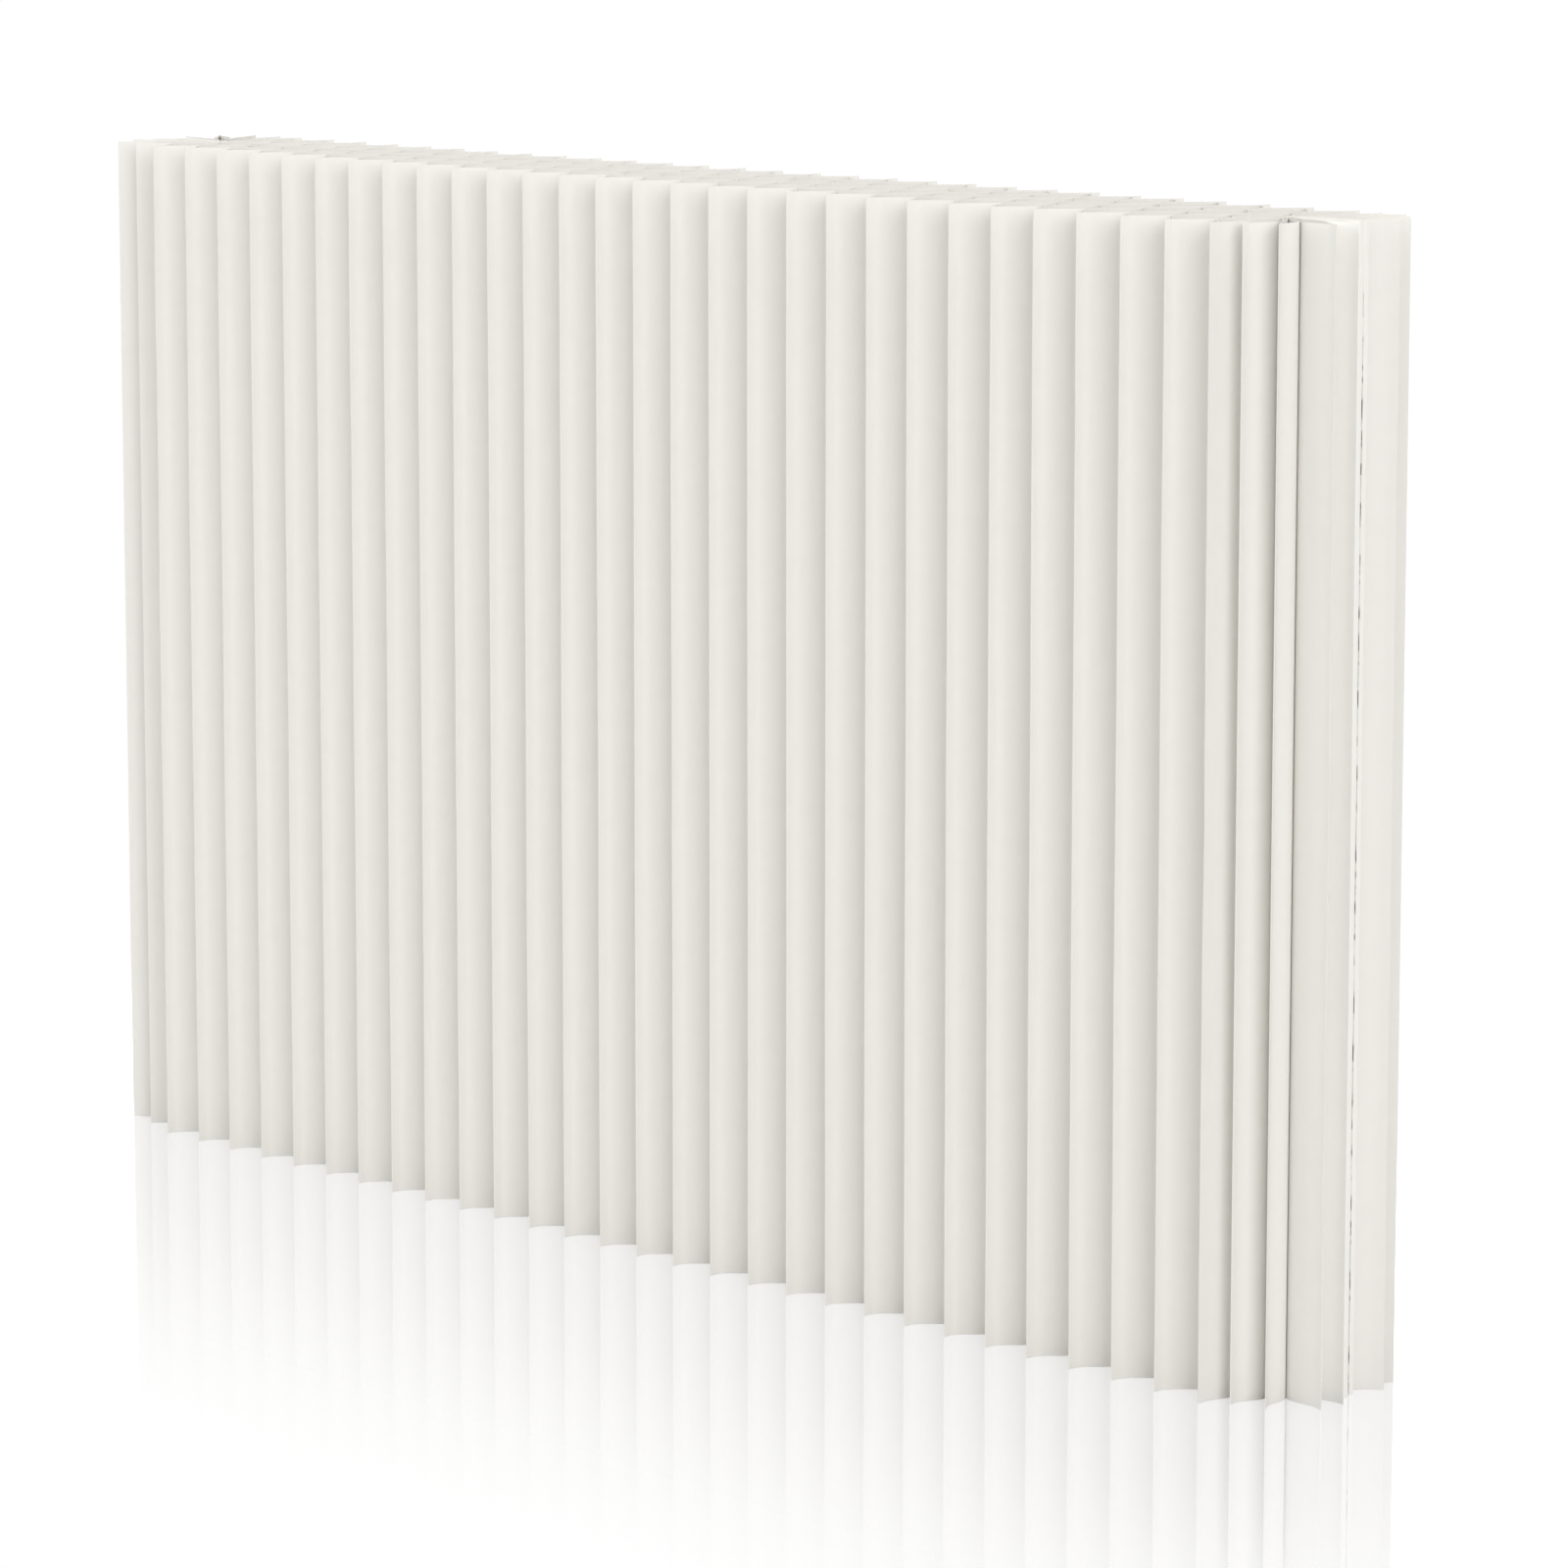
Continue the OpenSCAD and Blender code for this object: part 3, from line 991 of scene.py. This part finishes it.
class SCREEN_OT_fans(bpy.types.Operator):
    """Fans the last pleats of each end out round the bead"""

    bl_idname = "screen.fans"
    bl_label = "Fanned pleats"

    def execute(self, context):
        chance = np.random.default_rng(FAN_SEED)
        for end, half, away in half_ends():
            for i in range(FAN_PLEATS):
                self.pleat(context.scene, end, half, away, i, chance)
        return {"FINISHED"}

    def pleat(self, scene, end, half, away, i, chance):
        """One fanned pleat: two half sheets, each glued to what stands beside it."""
        fold = scene.screen_fold
        leaf = scene.screen_leaf
        direction = getattr(fold, f"{end}_{half}_directions")[i]
        reach = getattr(fold, f"{end}_{half}_reach")[i]
        glue = list(getattr(fold, f"{end}_{half}_glue"))
        wall_knot = fan_glue_point(fold, glue[i - 1] if i else (direction + away * 90) / 2, -away)
        if i < len(glue):
            leaf_knot = fan_glue_point(fold, glue[i], away)
        else:
            leaf_knot = leaf_glue_point(fold, leaf, getattr(leaf, f"{end}_direction"), away)
        d = unit(direction)
        hub = np.array([bead_offset(fold), 0.0])
        start = hub + d * (fold.bead + fold.bead_gap)
        tip = hub + d * reach
        parts = []
        for side in (-1, 1):
            aside = square_to(d) * side * inner_offset(fold)
            knot = wall_knot if side == away else leaf_knot
            line, free = bent_line([(start + aside, d), knot, (tip + aside, d)], fold)
            parts.append(self.sheet(fold, to_wall(end, line), free, chance))
        node = f"{end}_{half}_fan_{i + 1}"
        # The flap gets whiter paper as painted light for the shade that it stands in.
        painted_light = node == PAINTED_LIGHT_FLAP
        paper = shared_material("uncoated_flap_paper" if painted_light else "uncoated_sheet_paper")
        piece = make_piece(f"{node}_paper", parts, paper, node, [node])
        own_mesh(piece)

    def sheet(self, fold, line, free, chance):
        """One half sheet of a fanned pleat, whose free paper ripples."""
        seed = int(chance.integers(SEED_LIMIT))
        side = sideways(line)

        def waves(z):
            return (slow_waves(z, seed, RIPPLE_WAVELENGTH)[:, None] * free * fold.ripple)[..., None] * side

        return upright_sheet(line, fold.sheet, cut_height(fold, chance), waves)


class SCREEN_OT_leaves(bpy.types.Operator):
    """Folds the leaves' paper covers and finishes what they hold"""

    bl_idname = "screen.leaves"
    bl_label = "End leaves"

    def execute(self, context):
        fold = context.scene.screen_fold
        leaf = context.scene.screen_leaf
        # The cover paper carries painted shade in the seam's gap.
        paper = shared_material("scored_cover_paper")
        board = shared_material("layered_paper_board")
        magnet = shared_material("nickel_plated_magnet")
        for end in ENDS:
            repaint(f"{end}_bead", board)
        for place, (end, half, away) in enumerate(half_ends(), 1):
            body = f"{end}_{half}_leaf"
            part = self.cover(fold, leaf, end, away, COVER_SEED + 10 * place)
            make_piece(f"{end}_{half}_cover_paper", [part], paper, body, [f"{body}_cover"])
            repaint(f"{body}_board", board)
            repaint(f"{body}_magnets", magnet)
        return {"FINISHED"}

    def outline(self, fold, leaf):
        """A cover's middle line, as distances from the crease and from the seam face.

        It runs along the seam face, round the nose and back over the board to its thin edge. Nine points
        are added along the seam face, so that it can bend.
        """
        c = leaf.cover
        nose = leaf.width - c / 2
        thin = leaf.board_start - c / 2
        end = 1.05 * c  # just clear of the seam face's inner side
        corners = [
            (fold.fold_gap, c / 2),
            (nose, c / 2),
            (nose, leaf_face(leaf, nose) - c / 2),
            (thin, leaf_face(leaf, thin) - c / 2),
            (thin, end),
        ]
        own = rounded_line(corners, leaf.corner)
        along = np.linspace(0.1, 0.9, 9)[:, None]
        return np.insert(own, 1, own[0] + (own[1] - own[0]) * along, 0)

    def cover(self, fold, leaf, end, away, seed):
        """One leaf's cover.

        The seam face leans towards its partner by half of what the seam gives up, which is nearly all of it
        at the top, and the fold round the nose wanders.
        """
        own = self.outline(fold, leaf)
        mirror = np.array([ENDS[end], 1.0])
        d = unit(getattr(leaf, f"{end}_direction"))
        out = square_to(d) * away
        hub = np.array([crease_offset(fold, leaf), 0.0])
        line = to_wall(end, hub + own[:, :1] * d + (own[:, 1:] + leaf.seam / 2) * out)
        near_nose = np.clip(own[:, 0] / leaf.width, 0, 1) ** 2
        near_seam = near_nose * np.clip(1 - own[:, 1] / LEAN_DEPTH, 0, 1)
        at_nose = near_nose**8

        def waves(z):
            shut = np.clip((z / HEIGHT - leaf.shut_from) / SHUT_OVER, 0, 1)
            opening = (leaf.seam_open + leaf.seam_wave * slow_waves(z, seed, SEAM_WAVELENGTH)) * (1 - shut)
            lean = np.clip(leaf.seam - opening, 0, leaf.seam * LEAN_LIMIT) / 2
            bulge = slow_waves(z, seed + 1, NOSE_WAVELENGTH) * leaf.nose_wave
            inwards = -(lean[:, None] * near_seam)[..., None] * out * mirror
            return inwards + (bulge[:, None] * at_nose)[..., None] * d * mirror

        return upright_sheet(line, leaf.cover, HEIGHT, waves, COVER_ROWS)


class SCREEN_OT_stage(bpy.types.Operator):
    """Lays the floor and sets the light and the camera"""

    bl_idname = "screen.stage"
    bl_label = "Stage"

    def execute(self, context):
        self.lay_floor(context.scene)
        self.light(context.scene)
        self.aim(context.scene)
        return {"FINISHED"}

    def lay_floor(self, scene):
        """A square floor just under the sheets."""
        half = FLOOR_SIZE / 2
        mesh = bpy.data.meshes.new("floor")
        corners = [(-half, -half, 0), (half, -half, 0), (half, half, 0), (-half, half, 0)]
        mesh.from_pydata(corners, [], [(0, 1, 2, 3)])
        mesh.materials.append(polished_floor("polished_floor", scene.screen_stage))
        floor = bpy.data.objects.new("floor", mesh)
        floor.location.z = -FLOOR_DROP
        scene.collection.objects.link(floor)

    def light(self, scene):
        """An even studio sky, which shows as white, and three broad lamps."""
        stage = scene.screen_stage
        world = bpy.data.worlds.new("studio")
        world.use_nodes = True
        tree = world.node_tree
        tree.nodes.clear()
        level = add_node(tree, "ShaderNodeMapRange", Value=seen(tree), To_Min=stage.sky, To_Max=1.0)
        sky = add_node(tree, "ShaderNodeBackground", Color=WHITE, Strength=level.outputs["Result"])
        add_node(tree, "ShaderNodeOutputWorld", Surface=sky.outputs[0])
        scene.world = world
        for name in ("key", "fill", "back"):
            light = bpy.data.lights.new(name, "SUN")
            light.energy = getattr(stage, name)
            light.angle = math.radians(stage.spread)
            lamp = bpy.data.objects.new(name, light)
            rise = getattr(stage, f"{name}_rise")
            turn = getattr(stage, f"{name}_turn")
            lamp.rotation_euler = (math.radians(90 - rise), 0, math.radians(turn + 90))
            scene.collection.objects.link(lamp)

    def aim(self, scene):
        """The camera, and the plain view of colour that the lamps are set for."""
        stage = scene.screen_stage
        camera = bpy.data.cameras.new("camera")
        camera.sensor_width = SENSOR
        camera.lens = stage.lens
        camera.shift_y = stage.shift
        camera.clip_end = FAR_CLIP
        eye = bpy.data.objects.new("camera", camera)
        eye.location = stage.eye
        eye.rotation_euler = (math.radians(90 - stage.pitch), 0, math.radians(stage.turn))
        scene.collection.objects.link(eye)
        scene.camera = eye
        scene.view_settings.view_transform = "Standard"


class SCREEN_PT_panel(bpy.types.Panel):
    """Lists the steps that dress the screen"""

    bl_label = "Pleated screen"
    bl_space_type = "VIEW_3D"
    bl_region_type = "UI"
    bl_category = "Screen"

    def draw(self, context):
        for operator in STEPS:
            self.layout.operator(operator.bl_idname)


STEPS = (
    SCREEN_OT_stage,
    SCREEN_OT_square_pleats,
    SCREEN_OT_end_sheets,
    SCREEN_OT_fans,
    SCREEN_OT_leaves,
)
SETTINGS = {
    "screen_fold": ScreenFoldSettings,
    "screen_leaf": ScreenLeafSettings,
    "screen_paper": ScreenPaperSettings,
    "screen_stage": ScreenStageSettings,
}


def register():
    """Adds the settings, the steps and the panel to Blender."""
    for kind in (*SETTINGS.values(), *STEPS, SCREEN_PT_panel):
        bpy.utils.register_class(kind)
    for name, kind in SETTINGS.items():
        setattr(bpy.types.Scene, name, bpy.props.PointerProperty(type=kind))


def unregister():
    """Takes them out again."""
    for name in SETTINGS:
        delattr(bpy.types.Scene, name)
    for kind in reversed((*SETTINGS.values(), *STEPS, SCREEN_PT_panel)):
        bpy.utils.unregister_class(kind)


def main():
    """Dresses the screen step by step."""
    register()
    for operator in STEPS:
        group, step = operator.bl_idname.split(".")
        getattr(getattr(bpy.ops, group), step)()


if __name__ == "__main__":
    main()
